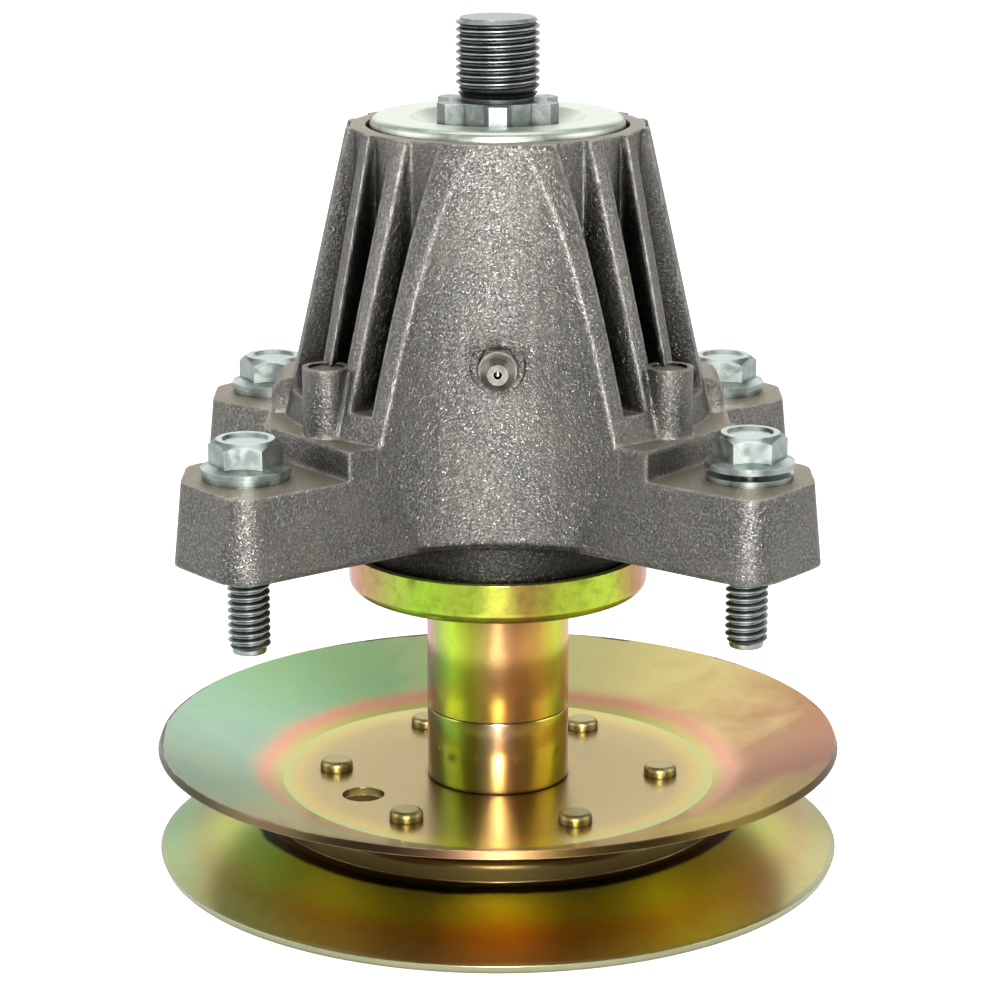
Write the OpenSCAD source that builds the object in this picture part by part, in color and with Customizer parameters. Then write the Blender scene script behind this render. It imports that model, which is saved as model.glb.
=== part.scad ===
// Mower deck spindle: a ribbed cast housing with a splined shaft on two ball bearings,
// a dust cup and a two-disc V-pulley. It stands on the lower rim, blade end up.

/* [Pulley] */
// Outside diameter of both discs
pulley_d = 135; // [120:1:150]
// Thickness of the discs' sheet
disc_t = 1.6; // [1.2:0.1:2.2]
// Height of the flat web's top above the lower rim
web_h = 14.9; // [12:0.1:18]
// Diameter at which the upper disc starts to flare
web_d = 86; // [78:1:92]
// Rise of the upper rim above the web's top
upper_rise = 8.7; // [6:0.1:12]
// Outside diameter of the groove's bottom
groove_d = 91.6; // [86:0.2:96]
// Height of the groove's bottom edge above the lower rim
groove_h = 8.6; // [6:0.1:10]
// Bend radius of the sheet, at its middle
disc_bend_r = 2.2; // [1.6:0.1:4]
// Number of rivets
rivet_n = 6; // [4:1:8]
// Radius of the rivets' circle
rivet_ring_r = 32.4; // [28:0.2:36]
// Angle by which the rivets' circle is turned
rivet_turn = -2.8; // [-30:0.2:30]
// Diameter of a rivet's head
rivet_head_d = 6.5; // [5:0.1:8]
// Diameter of a rivet's shank
rivet_shank_d = 4.8; // [3:0.1:5]
// Height of a rivet's upper head
rivet_head_h = 2.1; // [1.5:0.1:3]
// Height of a rivet's lower head
rivet_tail_h = 1.6; // [1:0.1:2]
// Diameter of the index hole
index_d = 8.3; // [6:0.1:10]
// Radius at which the index hole lies
index_ring_r = 29.6; // [26:0.1:32]
// Angle at which the index hole lies
index_a = 206.9; // [200:0.1:215]
// Outside diameter of the hub
hub_d = 28; // [26:0.5:32]
// Diameter of the hub's spigot through the discs
spigot_d = 23; // [21:0.5:25]
// Length of the hub above the web
hub_h = 14.6; // [10:0.2:18]

/* [Shaft] */
// Diameter of both threads
thread_d = 15.875; // [14:0.005:16]
// Length of the blade-end thread
thread_h = 13.8; // [10:0.1:16]
// Length of the neck under the thread
neck_h = 1.8; // [1:0.1:3]
// Diameter of the neck
neck_d = 13.8; // [12:0.1:14]
// Chamfer on both shaft ends
shaft_chamfer = 1.1; // [0.5:0.1:1.6]
// Radius of the blade star's tips
star_tip_r = 12.3; // [11.5:0.1:14]
// Radius of the blade star's valleys
star_root_r = 9.3; // [8.5:0.1:10.5]
// Width of a star point at its tip
star_tip_w = 3.3; // [2:0.1:4]
// Width of a star point at its root
star_root_w = 5.4; // [4:0.1:7]
// Height of the star
star_h = 5.1; // [4:0.1:7]
// Number of star points
star_n = 6; // [5:1:8]
// Diameter of the journal in the bearings
journal_d = 20; // [18:0.5:22]
// Diameter over the spline's teeth
spline_d = 18; // [17:0.1:18.4]
// Width of a spline tooth
spline_w = 2; // [1.5:0.1:2.4]
// Number of spline teeth
spline_n = 12; // [8:1:14]
// Distance of the lower shaft end above the lower rim
shaft_foot_z = 0.8; // [0.2:0.1:2]

/* [Pulley nut] */
// Width across the nut's flats
nut_af = 23.8; // [22:0.1:26]
// Height of the nut
nut_h = 10.2; // [8:0.1:11]
// Diameter of the nut's flange
nut_flange_d = 30; // [27:0.5:34]
// Thickness of the nut's flange
nut_flange_h = 2; // [1:0.1:3]

/* [Bearings] */
// Outside diameter of a bearing
bearing_d = 47; // [46:0.5:48]
// Width of a bearing
bearing_h = 14; // [12.5:0.5:15]
// Diameter of the balls
ball_d = 7.94; // [7:0.02:8.4]
// Number of balls
ball_n = 8; // [6:1:9]
// Thickness of a race at its shoulder
race_t = 3.4; // [3:0.1:3.8]
// Thickness of a seal
seal_t = 0.9; // [0.6:0.1:1.2]
// Outside diameter of the spacer between the bearings
bearing_spacer_d = 26; // [24:0.5:28]

/* [Dust cup, sleeve and shield] */
// Outside diameter of the cup
cup_d = 58.6; // [57.6:0.1:64]
// Height of the cup
cup_h = 8; // [6:0.1:9]
// Thickness of the cup's and the shield's sheet
cap_t = 1.5; // [1:0.1:1.8]
// Height of the pressed-up middle of the cup
cup_land_h = 2; // [1.5:0.1:3]
// Bend radius of the cup's and the shield's sheet, at its middle
cap_bend_r = 1.6; // [1.2:0.1:2.5]
// Length of the sleeve between the hub and the cup
sleeve_h = 26.5; // [20:0.5:34]
// Outside diameter of the shield
shield_d = 48.7; // [46:0.1:49.4]
// Height of the shield's rolled edge
shield_h = 2.7; // [2.2:0.1:3.2]
// Diameter of the pressed-down middle of the shield
shield_land_d = 32; // [29:0.5:36]
// Depth of the pressed-down middle of the shield
shield_land_h = 2.2; // [1.6:0.1:2.6]

/* [Housing] */
// Height of the housing's feet above the lower rim
foot_z = 69.3; // [66:0.1:74]
// Height of a foot
foot_h = 15.6; // [12:0.1:20]
// Height of the platform above the feet's tops
platform_h = 5.5; // [4:0.1:8]
// Height of the rim above the platform
barrel_h = 54.6; // [48:0.2:62]
// Distance between the bolts along X
bolt_gap_x = 92.4; // [88:0.2:98]
// Distance between the bolts along Y
bolt_gap_y = 73; // [70:0.2:78]
// Width of an arm at its top
arm_w = 29; // [26:0.5:32]
// Distance of an arm's end beyond its bolt
arm_nose = 11.6; // [10:0.2:14]
// Radius of an arm's upright corners, at the top
arm_corner_r = 5; // [3:0.5:6]
// Distance from the axis to the flat side of a foot
side_reach = 58; // [57:0.5:60]
// Draft of a foot's sides, over its height
foot_draft = 1.5; // [0.5:0.1:2.5]
// Distance of the platform's end from the axis, along an arm
platform_reach = 46; // [44:0.5:48]
// Width of the platform across the sides
platform_w = 88; // [85:0.5:92]
// Length of the platform's sides
platform_l = 40; // [30:1:46]
// Radius of the ribbed cone at the platform
cone_foot_r = 41.5; // [40:0.5:43]
// Width of the ledge round the cone's foot
ledge_w = 0.8; // [0.5:0.1:1.5]
// Radius of the ribbed cone at its top
rim_r = 29; // [28.6:0.1:30]
// Radius of the barrel between the ribs
barrel_r = 28; // [27:0.1:28.4]
// Height of the solid skirt below the slots
sill_h = 5; // [3:0.1:8]
// Thickness of a rib
rib_t = 2.9; // [2:0.1:3.4]
// Distance of the front and rear panels from the axis
panel_y = 28.6; // [28.2:0.1:30]
// Thickness of the front and rear panels
panel_t = 3; // [2:0.1:4]
// Distance of a side lug's outer face from the axis
lug_x = 43.4; // [42:0.1:43.8]
// Width of a side lug
lug_w = 15; // [10:0.5:18]
// Height of a side lug above the platform
lug_h = 6.8; // [5.5:0.1:9]
// Radius of a side lug's round corner
lug_r = 3.8; // [2:0.1:5]
// Radius of the bearing boss that enters the cup
boss_r = 26.9; // [26.4:0.1:27.4]
// Depth of the counterbore that takes the shield
counterbore_h = 2; // [1.5:0.1:3]
// Diameter of the counterbore
counterbore_d = 50.4; // [49.8:0.1:51]
// Diameter of the grease space between the bearings
cavity_d = 41.4; // [38:0.2:43]
// Thickness of the feet's outer walls
wall_t = 4; // [3:0.1:5]
// Thickness of the roof over the hollow feet
roof_t = 5; // [4:0.1:7]
// Thickness of the web inside a foot
web_t = 3; // [2:0.1:4]
// Diameter of a post on the platform
post_d = 8.9; // [7:0.1:10]
// Height of a post
post_h = 12.9; // [8:0.1:16]
// Distance of a post from the axis
post_ring_r = 40.6; // [39:0.1:42]
// Depth of the dish in a post's top
post_dish_h = 0.6; // [0.3:0.1:1]

/* [Bolts] */
// Diameter of a bolt's thread
bolt_d = 7.94; // [7:0.02:8.4]
// Length of a bolt under its head
bolt_l = 34.6; // [30:0.2:38]
// Diameter of a bolt's plain body inside the foot
bolt_body_d = 7.2; // [6.6:0.1:7.8]
// Distance across the corners of a bolt's head
bolt_corner_d = 13.8; // [13:0.1:14.6]
// Height of a bolt's head with its flange
bolt_head_h = 6.4; // [5.5:0.1:7.5]
// Diameter of a bolt's flange
bolt_flange_d = 16.6; // [15.5:0.1:18]
// Thickness of a bolt's flange at its edge
bolt_flange_h = 1.1; // [0.8:0.1:1.5]
// Diameter of the dish in a bolt's head
bolt_dish_d = 8.6; // [7:0.1:9.5]
// Length of a bolt's dog point
dog_h = 1.4; // [1:0.1:2.5]
// Diameter of a bolt's dog point
dog_d = 6.4; // [5.5:0.1:6.8]
// How far the loosest bolt stands up from its washer
loose_h = 1.2; // [0:0.1:2]
// Outside diameter of a washer
washer_d = 16.2; // [15:0.1:17.5]
// Thickness of a washer
washer_t = 1.1; // [0.8:0.1:1.6]

/* [Grease fitting] */
// Height of the fitting above the platform
grease_h = 13.6; // [11:0.1:20]
// Width across the fitting's flats
grease_af = 7; // [6:0.1:8]
// Length of the fitting's hexagon
grease_hex_h = 3.4; // [2.5:0.1:5]
// Diameter of the fitting's nozzle
nozzle_d = 6.4; // [5.5:0.1:6.8]
// Length of the nozzle with its neck
nozzle_h = 4.2; // [3.5:0.1:5]
// Diameter of the neck behind the nozzle
nozzle_neck_d = 4.6; // [4.2:0.1:5]
// Diameter of the fitting's thread
grease_thread_d = 6.2; // [5.5:0.05:6.4]
// Diameter of the check ball
check_ball_d = 2.4; // [1.8:0.1:2.6]
// Travel of the check ball
check_travel = 0.8; // [0.5:0.1:1]

/* [Clearances] */
// Radial clearance between a ball and its track or pocket
ball_clear = 0.08; // [0.04:0.01:0.12]
// Gap between a seal's lip and the inner race
lip_clear = 0.1; // [0.05:0.01:0.2]
// Radial clearance of a bolt in its hole
bolt_clear = 0.2; // [0.1:0.05:0.5]
// Radial clearance of the pieces that slide onto the shaft
slip_clear = 0.05; // [0.02:0.01:0.1]
// Radial clearance of the check ball in its chamber
check_clear = 0.08; // [0.05:0.01:0.12]

/* [Hidden] */
$fn = 96;
// How far a cutting shape runs past the face that it cuts
overrun = 1;
// How far the ribbed cone is sunk into the platform
cone_sunk = 2 * ledge_w;
// Faces of a bend, and of the valleys between the arms
bend_steps = 6;
valley_steps = 28;
// Angle at which the curve of a valley begins
valley_from_a = 10;
// Shares of a post's top that is dished, and of a bolt's flange that slopes
dish_share = 0.76;
slope_share = 0.8;
// Share of the star's hub at which its points begin
star_share = 0.9;
// Shares of the nozzle's height at which its widest part begins and ends
nozzle_low_share = 0.6;
nozzle_high_share = 0.75;
// Spot face of the grease fitting, as a share of the width of its hexagon
spot_share = 1.5;
// Facets of the drafted feet's corners
corner_facets = 32;

// Heights along the axis, from the lower rim up
web_under = web_h - 2 * disc_t;
hub_top = web_h + hub_h;
sleeve_top = hub_top + sleeve_h;
cup_floor = sleeve_top - cup_land_h;
lower_bearing_z = sleeve_top + cap_t;
boss_z = lower_bearing_z - cap_t / 3;
foot_top = foot_z + foot_h;
platform_z = foot_top + platform_h;
housing_top = platform_z + barrel_h;
upper_bearing_z = housing_top - counterbore_h - bearing_h;
star_z = housing_top - counterbore_h + cap_t;
shield_top = star_z + shield_land_h;
neck_z = star_z + star_h;
thread_z = neck_z + neck_h;
shaft_top = thread_z + thread_h;
journal_z = lower_bearing_z + slip_clear;

// Radii and angles that several pieces share
pulley_r = pulley_d / 2;
hub_r = hub_d / 2;
spigot_r = spigot_d / 2;
spline_r = spline_d / 2;
journal_r = journal_d / 2;
bearing_r = bearing_d / 2;
pitch_r = (journal_r + bearing_r) / 2;
ball_r = ball_d / 2;
track_r = ball_r + ball_clear;
inner_race_r = journal_r + race_t;
outer_race_r = bearing_r - race_t;
arm_a = atan2(bolt_gap_y, bolt_gap_x);
arm_l = norm([bolt_gap_x, bolt_gap_y]) / 2 + arm_nose;
bolt_spots = [for (x = [-1, 1], y = [-1, 1]) [x * bolt_gap_x, y * bolt_gap_y] / 2];
grease_z = platform_z + grease_h;

// Centre and radius of the round valley between two feet, which the arms' sides touch
valley_y = (panel_y - arm_w / 2) / (1 - cos(arm_a));
valley_r = valley_y - panel_y;

// Ribs of one quarter: angles from the front at the rim and at the cone's foot
rib_head_angles = [35.4, 54.8, 75.7];
rib_foot_angles = [43.5, 53.2, 76];

// Directions and sheet outlines
function unit(v) = v / norm(v);
function turned(v) = [-v[1], v[0]];
function reversed(list) = [for (i = [len(list) - 1:-1:0]) list[i]];
function polar(r, a) = r * [cos(a), sin(a)];
function lerp(start, stop, share) = start + (stop - start) * share;
function from_front(r, a) = r * [sin(a), -cos(a)];

// Points of a round corner at b, between the directions u and w that leave it
function corner(b, u, w, r) =
    let (half = acos(u * w) / 2,
         centre = b + unit(u + w) * r / sin(half),
         start = b + u * r / tan(half) - centre,
         stop = b + w * r / tan(half) - centre,
         a = atan2(start[1], start[0]),
         sweep = (atan2(stop[1], stop[0]) - a + 540) % 360 - 180)
    [for (i = [0:bend_steps]) centre + polar(r, a + sweep * i / bend_steps)];

// One face of a bent sheet, at the distance s to the left of its middle path
function sheet_face(path, r, s) =
    let (last = len(path) - 1)
    concat(
        [path[0] + s * turned(unit(path[1] - path[0]))],
        [for (i = [1:last - 1])
            let (u = unit(path[i - 1] - path[i]), w = unit(path[i + 1] - path[i]),
                 n = turned(-u), m = turned(w))
            each corner(path[i] + s * (n + m) / (1 + n * m), u, w, r - s * sign(cross(-u, w)))],
        [path[last] + s * turned(unit(path[last] - path[last - 1]))]);

function sheet_outline(path, r, t) =
    concat(sheet_face(path, r, t / 2), reversed(sheet_face(path, r, -t / 2)));

module turned_sheet(path, r, t) {
    rotate_extrude() polygon(sheet_outline(path, r, t));
}

module ring(z, h, r_out, r_in) {
    translate([0, 0, z]) difference() {
        cylinder(h = h, r = r_out);
        translate([0, 0, -overrun]) cylinder(h = h + 2 * overrun, r = r_in);
    }
}

// Housing: plan shapes
module valley_plan(grow) {
    arc = [for (i = [0:valley_steps])
        [0, -valley_y] + polar(valley_r - grow, lerp(valley_from_a, 180 - valley_from_a, i / valley_steps))];
    polygon(concat(arc, [[-arm_l, -valley_y - arm_l], [arm_l, -valley_y - arm_l]]));
}

module valleys(z, h, grow) {
    for (back = [0, 1]) mirror([0, back, 0])
        translate([0, 0, z]) linear_extrude(h) valley_plan(grow);
}

// The cone runs a little way into the platform that it stands on
module cone() {
    taper = (cone_foot_r - rim_r) / barrel_h;
    translate([0, 0, platform_z - cone_sunk])
        cylinder(h = barrel_h + cone_sunk, r1 = cone_foot_r + cone_sunk * taper, r2 = rim_r);
}

// A rib is an upright plate whose front face runs through its head and its foot
module rib_plan(head_a, foot_a) {
    head = from_front(rim_r, head_a);
    foot = from_front(cone_foot_r, foot_a);
    way = unit(foot - head);
    inner = head - way * (barrel_r - cavity_d / 2);
    outer = foot + way * rib_t;
    back = turned(way) * rib_t;
    polygon([inner, outer, outer + back, inner + back]);
}

// The panel is the valley's own round wall, open behind where the slots begin
module panel_plan() {
    translate([0, -valley_y]) circle(r = valley_r + panel_t);
}

module ribs() {
    for (left = [0, 1], back = [0, 1]) mirror([left, 0, 0]) mirror([0, back, 0])
        for (i = [0:len(rib_head_angles) - 1]) rib_plan(rib_head_angles[i], rib_foot_angles[i]);
    for (back = [0, 1]) mirror([0, back, 0]) panel_plan();
}

module ribbed_barrel() {
    difference() {
        union() {
            translate([0, 0, foot_z]) cylinder(h = housing_top - foot_z, r = barrel_r);
            translate([0, 0, foot_z]) cylinder(h = platform_z - foot_z - ledge_w, r = cone_foot_r + ledge_w);
            intersection() {
                cone();
                union() {
                    translate([0, 0, platform_z - cone_sunk])
                        cylinder(h = sill_h + cone_sunk, r = cone_foot_r + ledge_w);
                    translate([0, 0, platform_z - cone_sunk])
                        linear_extrude(barrel_h + cone_sunk) ribs();
                }
            }
        }
        valleys(foot_z - overrun, housing_top - foot_z + 2 * overrun, 0);
    }
}

// One bar of the X: two opposite arms with drafted sides, round corners and a flat outer side
module foot_bar(a) {
    l = arm_l - arm_corner_r;
    w = arm_w / 2 - arm_corner_r;
    flat_x = side_reach - arm_corner_r;
    side = sign(a);
    corners = [[l, side * w], [l, (l * cos(a) - flat_x) / sin(a)],
               [(flat_x - w * abs(sin(a))) / cos(a), -side * w]];
    translate([0, 0, foot_z]) rotate(a) hull() for (end = [-1, 1], c = corners) translate(end * c)
        cylinder(h = foot_h, r1 = arm_corner_r + foot_draft, r2 = arm_corner_r, $fn = corner_facets);
}

module platform() {
    h = platform_z - foot_z - roof_t / 2;
    translate([0, 0, platform_z - h]) linear_extrude(h) {
        for (a = [arm_a, -arm_a]) rotate(a) square([2 * platform_reach, arm_w], center = true);
        square([platform_w, platform_l], center = true);
    }
    translate([-platform_w / 2, -platform_l / 2, foot_z])
        cube([platform_w, platform_l, platform_z - foot_z - 2 * cone_sunk]);
}

// A lug with round corners stands up behind the ribs on each side
module side_lugs() {
    crown = platform_z + lug_h;
    rotate([90, 0, 0]) linear_extrude(lug_w, center = true) polygon(concat(
        [[lug_x, foot_top]], corner([lug_x, crown], [0, -1], [-1, 0], lug_r),
        corner([-lug_x, crown], [1, 0], [0, -1], lug_r), [[-lug_x, foot_top]]));
}

module posts() {
    for (a = [arm_a, 180 - arm_a, arm_a - 180, -arm_a]) translate([0, 0, platform_z])
        translate(polar(post_ring_r, a)) difference() {
            translate([0, 0, -platform_h / 2]) cylinder(h = post_h + platform_h / 2, d = post_d);
            translate([0, 0, post_h - post_dish_h]) cylinder(h = overrun, d = post_d * dish_share);
        }
}

// The hollow under the feet, with a web along each arm and a column round each bolt
module underside() {
    h = foot_h - roof_t;
    translate([0, 0, foot_z - overrun]) linear_extrude(h + overrun) difference() {
        intersection() {
            union() {
                for (a = [arm_a, -arm_a]) rotate(a)
                    square([2 * (arm_l - wall_t), arm_w - 2 * wall_t], center = true);
                circle(r = cone_foot_r - wall_t);
            }
            square([2 * (side_reach - wall_t), 2 * arm_l], center = true);
        }
        circle(r = boss_r + web_t);
        for (back = [0, 1]) mirror([0, back, 0]) valley_plan(-wall_t);
        for (a = [arm_a, -arm_a]) rotate(a) square([2 * arm_l, web_t], center = true);
        square([2 * cone_foot_r, web_t], center = true);
        for (spot = bolt_spots) translate(spot) circle(d = bolt_flange_d);
    }
}

module housing_bores() {
    ring_h = housing_top - boss_z + 2 * overrun;
    translate([0, 0, boss_z - overrun]) cylinder(h = ring_h, d = cavity_d);
    translate([0, 0, boss_z - overrun])
        cylinder(h = lower_bearing_z + bearing_h - boss_z + overrun, d = bearing_d);
    translate([0, 0, upper_bearing_z]) cylinder(h = bearing_h + overrun, d = bearing_d);
    translate([0, 0, housing_top - counterbore_h])
        cylinder(h = counterbore_h + overrun, d = counterbore_d);
    for (spot = bolt_spots) translate([spot[0], spot[1], foot_z - overrun])
        cylinder(h = foot_h + 2 * overrun, r = bolt_d / 2 + bolt_clear);
    translate([0, 0, grease_z]) rotate([90, 0, 0]) cylinder(h = panel_y + overrun, d = grease_thread_d);
    translate([0, -panel_y, grease_z]) rotate([90, 0, 0]) cylinder(h = wall_t, d = grease_af * spot_share);
}

module housing() {
    color([0.47, 0.45, 0.42]) difference() {
        union() {
            ribbed_barrel();
            for (a = [arm_a, -arm_a]) foot_bar(a);
            platform();
            side_lugs();
            posts();
            translate([0, 0, boss_z]) cylinder(h = foot_top - boss_z, r = boss_r);
        }
        underside();
        housing_bores();
    }
}

// Shaft
module spline(grow) {
    r = spline_r + grow;
    circle(r = thread_d / 2 + grow);
    for (i = [0:spline_n - 1]) rotate(i * 360 / spline_n)
        translate([0, -spline_w / 2 - grow]) square([r, spline_w + 2 * grow]);
}

module star_plan() {
    circle(r = star_root_r);
    for (i = [0:star_n - 1]) rotate(90 + i * 360 / star_n)
        polygon([[0, -star_root_w / 2], [star_root_r * star_share, -star_root_w / 2],
                 [star_tip_r, -star_tip_w / 2], [star_tip_r, star_tip_w / 2],
                 [star_root_r * star_share, star_root_w / 2], [0, star_root_w / 2]]);
}

module spindle_shaft() {
    thread_r = thread_d / 2;
    neck_r = neck_d / 2;
    color([0.72, 0.74, 0.72]) union() {
        rotate_extrude() polygon([
            [0, shaft_foot_z], [thread_r - shaft_chamfer, shaft_foot_z],
            [thread_r, shaft_foot_z + shaft_chamfer], [thread_r, hub_top],
            [spline_r, hub_top], [spline_r, journal_z], [journal_r, journal_z],
            [journal_r, star_z], [neck_r, star_z], [neck_r, thread_z - shaft_chamfer],
            [thread_r, thread_z], [thread_r, shaft_top - shaft_chamfer],
            [thread_r - shaft_chamfer, shaft_top], [0, shaft_top]]);
        translate([0, 0, web_under]) linear_extrude(hub_top - web_under) spline(0);
        translate([0, 0, star_z]) linear_extrude(star_h) star_plan();
    }
}

// Pressed shield over the blade-side bearing
module blade_side_shield() {
    land_z = star_z - cap_t / 2;
    plate_z = shield_top - cap_t / 2;
    land_r = shield_land_d / 2;
    edge_r = (shield_d - cap_t) / 2;
    color([0.75, 0.77, 0.74]) turned_sheet(
        [[journal_r + slip_clear, land_z], [land_r - shield_land_h, land_z],
         [land_r + shield_land_h / 2, plate_z], [edge_r, plate_z], [edge_r, shield_top - shield_h]],
        cap_t / 2 + cap_t / 6, cap_t);
}

// Pressed cup under the bearing boss
module dust_cup() {
    land_z = lower_bearing_z - cap_t / 2;
    floor_z = cup_floor + cap_t / 2;
    edge_r = (cup_d - cap_t) / 2;
    color([0.78, 0.66, 0.25]) turned_sheet(
        [[spline_r + slip_clear, land_z], [hub_r + cap_t, land_z], [hub_r + cap_t + cup_land_h, floor_z],
         [edge_r, floor_z], [edge_r, cup_floor + cup_h]],
        cap_bend_r, cap_t);
}

module spacer_sleeve() {
    color([0.80, 0.66, 0.28]) ring(hub_top, sleeve_h, hub_r, spline_r + slip_clear);
}

module bearing_spacer() {
    z = lower_bearing_z + bearing_h;
    color([0.6, 0.6, 0.6]) ring(z, upper_bearing_z - z, bearing_spacer_d / 2, journal_r + slip_clear);
}

// Ball bearings: each module draws its piece at the height z
module ball_track() {
    rotate_extrude() translate([pitch_r, 0]) circle(r = track_r);
}

module outer_race(z) {
    color([0.7, 0.7, 0.72]) translate([0, 0, z + bearing_h / 2]) difference() {
        ring(-bearing_h / 2, bearing_h, bearing_r, outer_race_r);
        ball_track();
        for (side = [0, 1]) mirror([0, 0, side]) translate([0, 0, bearing_h / 2 - seal_t])
            cylinder(h = seal_t + overrun, r = outer_race_r + seal_t);
    }
}

module inner_race(z) {
    color([0.7, 0.7, 0.72]) translate([0, 0, z + bearing_h / 2]) difference() {
        ring(-bearing_h / 2, bearing_h, inner_race_r, journal_r);
        ball_track();
    }
}

module balls(z) {
    color([0.85, 0.85, 0.87]) translate([0, 0, z + bearing_h / 2])
        for (i = [0:ball_n - 1]) rotate(i * 360 / ball_n)
            translate([pitch_r, 0, 0]) sphere(r = ball_r);
}

module cage(z) {
    cage_h = ball_d + 2 * seal_t;
    color([0.75, 0.7, 0.55]) translate([0, 0, z + bearing_h / 2]) difference() {
        ring(-cage_h / 2, cage_h, pitch_r + ball_r / 3, pitch_r - ball_r / 3);
        for (i = [0:ball_n - 1]) rotate(i * 360 / ball_n)
            translate([pitch_r - ball_r, 0, 0]) rotate([0, 90, 0]) cylinder(h = ball_d, r = track_r);
    }
}

module seals(z) {
    color([0.1, 0.1, 0.1]) for (seal_z = [z, z + bearing_h - seal_t])
        ring(seal_z, seal_t, outer_race_r + seal_t, inner_race_r + lip_clear);
}

module blade_bearing_outer_race() { outer_race(upper_bearing_z); }
module blade_bearing_inner_race() { inner_race(upper_bearing_z); }
module blade_bearing_balls() { balls(upper_bearing_z); }
module blade_bearing_cage() { cage(upper_bearing_z); }
module blade_bearing_seals() { seals(upper_bearing_z); }
module pulley_bearing_outer_race() { outer_race(lower_bearing_z); }
module pulley_bearing_inner_race() { inner_race(lower_bearing_z); }
module pulley_bearing_balls() { balls(lower_bearing_z); }
module pulley_bearing_cage() { cage(lower_bearing_z); }
module pulley_bearing_seals() { seals(lower_bearing_z); }

// Pulley
module pulley_hub() {
    color([0.80, 0.64, 0.25]) difference() {
        union() {
            translate([0, 0, web_h]) cylinder(h = hub_h, r = hub_r);
            translate([0, 0, web_under]) cylinder(h = 2 * disc_t, r = spigot_r);
        }
        translate([0, 0, web_under - overrun])
            linear_extrude(hub_top - web_under + 2 * overrun) spline(slip_clear);
    }
}

module disc_holes() {
    h = 2 * disc_t + 2 * overrun;
    translate([0, 0, web_under - overrun]) {
        for (i = [0:rivet_n - 1]) rotate(rivet_turn + i * 360 / rivet_n)
            translate([rivet_ring_r, 0, 0]) cylinder(h = h, d = rivet_shank_d);
        rotate(index_a) translate([index_ring_r, 0, 0]) cylinder(h = h, d = index_d);
    }
}

module pulley_upper_disc() {
    mid_z = web_h - disc_t / 2;
    web_r = web_d / 2;
    slope_a = atan2(upper_rise, pulley_r - web_r);
    edge = [pulley_r - disc_t / 2 * sin(slope_a), web_h + upper_rise - disc_t / 2 * cos(slope_a)];
    color([0.78, 0.70, 0.35]) difference() {
        turned_sheet([[spigot_r, mid_z], [web_r, mid_z], edge], disc_bend_r, disc_t);
        disc_holes();
    }
}

module pulley_lower_disc() {
    mid_z = web_under + disc_t / 2;
    wall_r = (groove_d - disc_t) / 2;
    slope_a = atan2(groove_h, pulley_r - wall_r);
    edge = [pulley_r - disc_t / 2 * sin(slope_a), disc_t / 2 * cos(slope_a)];
    color([0.70, 0.60, 0.28]) difference() {
        turned_sheet([[spigot_r, mid_z], [wall_r, mid_z], [wall_r, groove_h], edge],
                     disc_t / 2 + disc_t / 8, disc_t);
        disc_holes();
    }
}

module rivet() {
    head_r = rivet_head_d / 2;
    round_r = rivet_head_h / 2;
    rotate_extrude() polygon(concat(
        [[0, web_under - rivet_tail_h], [head_r - round_r, web_under - rivet_tail_h],
         [head_r, web_under - rivet_tail_h / 2], [head_r, web_under],
         [rivet_shank_d / 2, web_under], [rivet_shank_d / 2, web_h], [head_r, web_h]],
        [for (i = [0:bend_steps])
            [head_r - round_r, web_h + rivet_head_h - round_r] + polar(round_r, 90 * i / bend_steps)],
        [[0, web_h + rivet_head_h]]));
}

module pulley_rivets() {
    color([0.66, 0.56, 0.28]) for (i = [0:rivet_n - 1])
        rotate(rivet_turn + i * 360 / rivet_n) translate([rivet_ring_r, 0, 0]) rivet();
}

module pulley_nut() {
    corner_r = nut_af / 2 / cos(30);
    z = web_under - nut_h;
    color([0.6, 0.62, 0.6]) difference() {
        union() {
            intersection() {
                translate([0, 0, z]) cylinder(h = nut_h, r = corner_r, $fn = 6);
                translate([0, 0, z]) cylinder(h = nut_h, r1 = nut_af / 2, r2 = nut_af / 2 + nut_h);
            }
            translate([0, 0, web_under - nut_flange_h]) cylinder(h = nut_flange_h, d = nut_flange_d);
        }
        translate([0, 0, z - overrun])
            cylinder(h = nut_h + 2 * overrun, r = thread_d / 2 + slip_clear);
    }
}

// Bolts and washers
module bolt() {
    r = bolt_d / 2;
    body_r = bolt_body_d / 2;
    body_l = foot_h + washer_t + loose_h;
    dog_r = dog_d / 2;
    head_r = bolt_corner_d / 2;
    flat_r = head_r * cos(30);
    cone_h = bolt_flange_h * slope_share;
    union() {
        rotate_extrude() polygon([
            [0, -bolt_l], [dog_r - dog_h / 4, -bolt_l], [dog_r, -bolt_l + dog_h / 4],
            [dog_r, -bolt_l + dog_h], [r, -bolt_l + dog_h + r - dog_r],
            [r, body_r - r - body_l], [body_r, -body_l], [body_r, 0],
            [bolt_flange_d / 2, 0], [bolt_flange_d / 2, bolt_flange_h],
            [flat_r, bolt_flange_h + cone_h], [0, bolt_flange_h + cone_h]]);
        difference() {
            intersection() {
                translate([0, 0, bolt_flange_h / 2])
                    cylinder(h = bolt_head_h - bolt_flange_h / 2, r = head_r, $fn = 6);
                cylinder(h = bolt_head_h, r1 = head_r + bolt_head_h, r2 = flat_r - bolt_flange_h / 2);
            }
            translate([0, 0, bolt_head_h - bolt_flange_h / 2])
                cylinder(h = overrun, d1 = bolt_dish_d - overrun, d2 = bolt_dish_d + overrun);
        }
    }
}

module mounting_bolts() {
    loosest = [bolt_gap_x, -bolt_gap_y] / 2;
    color([0.75, 0.78, 0.75]) for (spot = bolt_spots)
        translate([spot[0], spot[1], foot_top + washer_t + (spot == loosest ? loose_h : 0)]) bolt();
}

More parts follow.
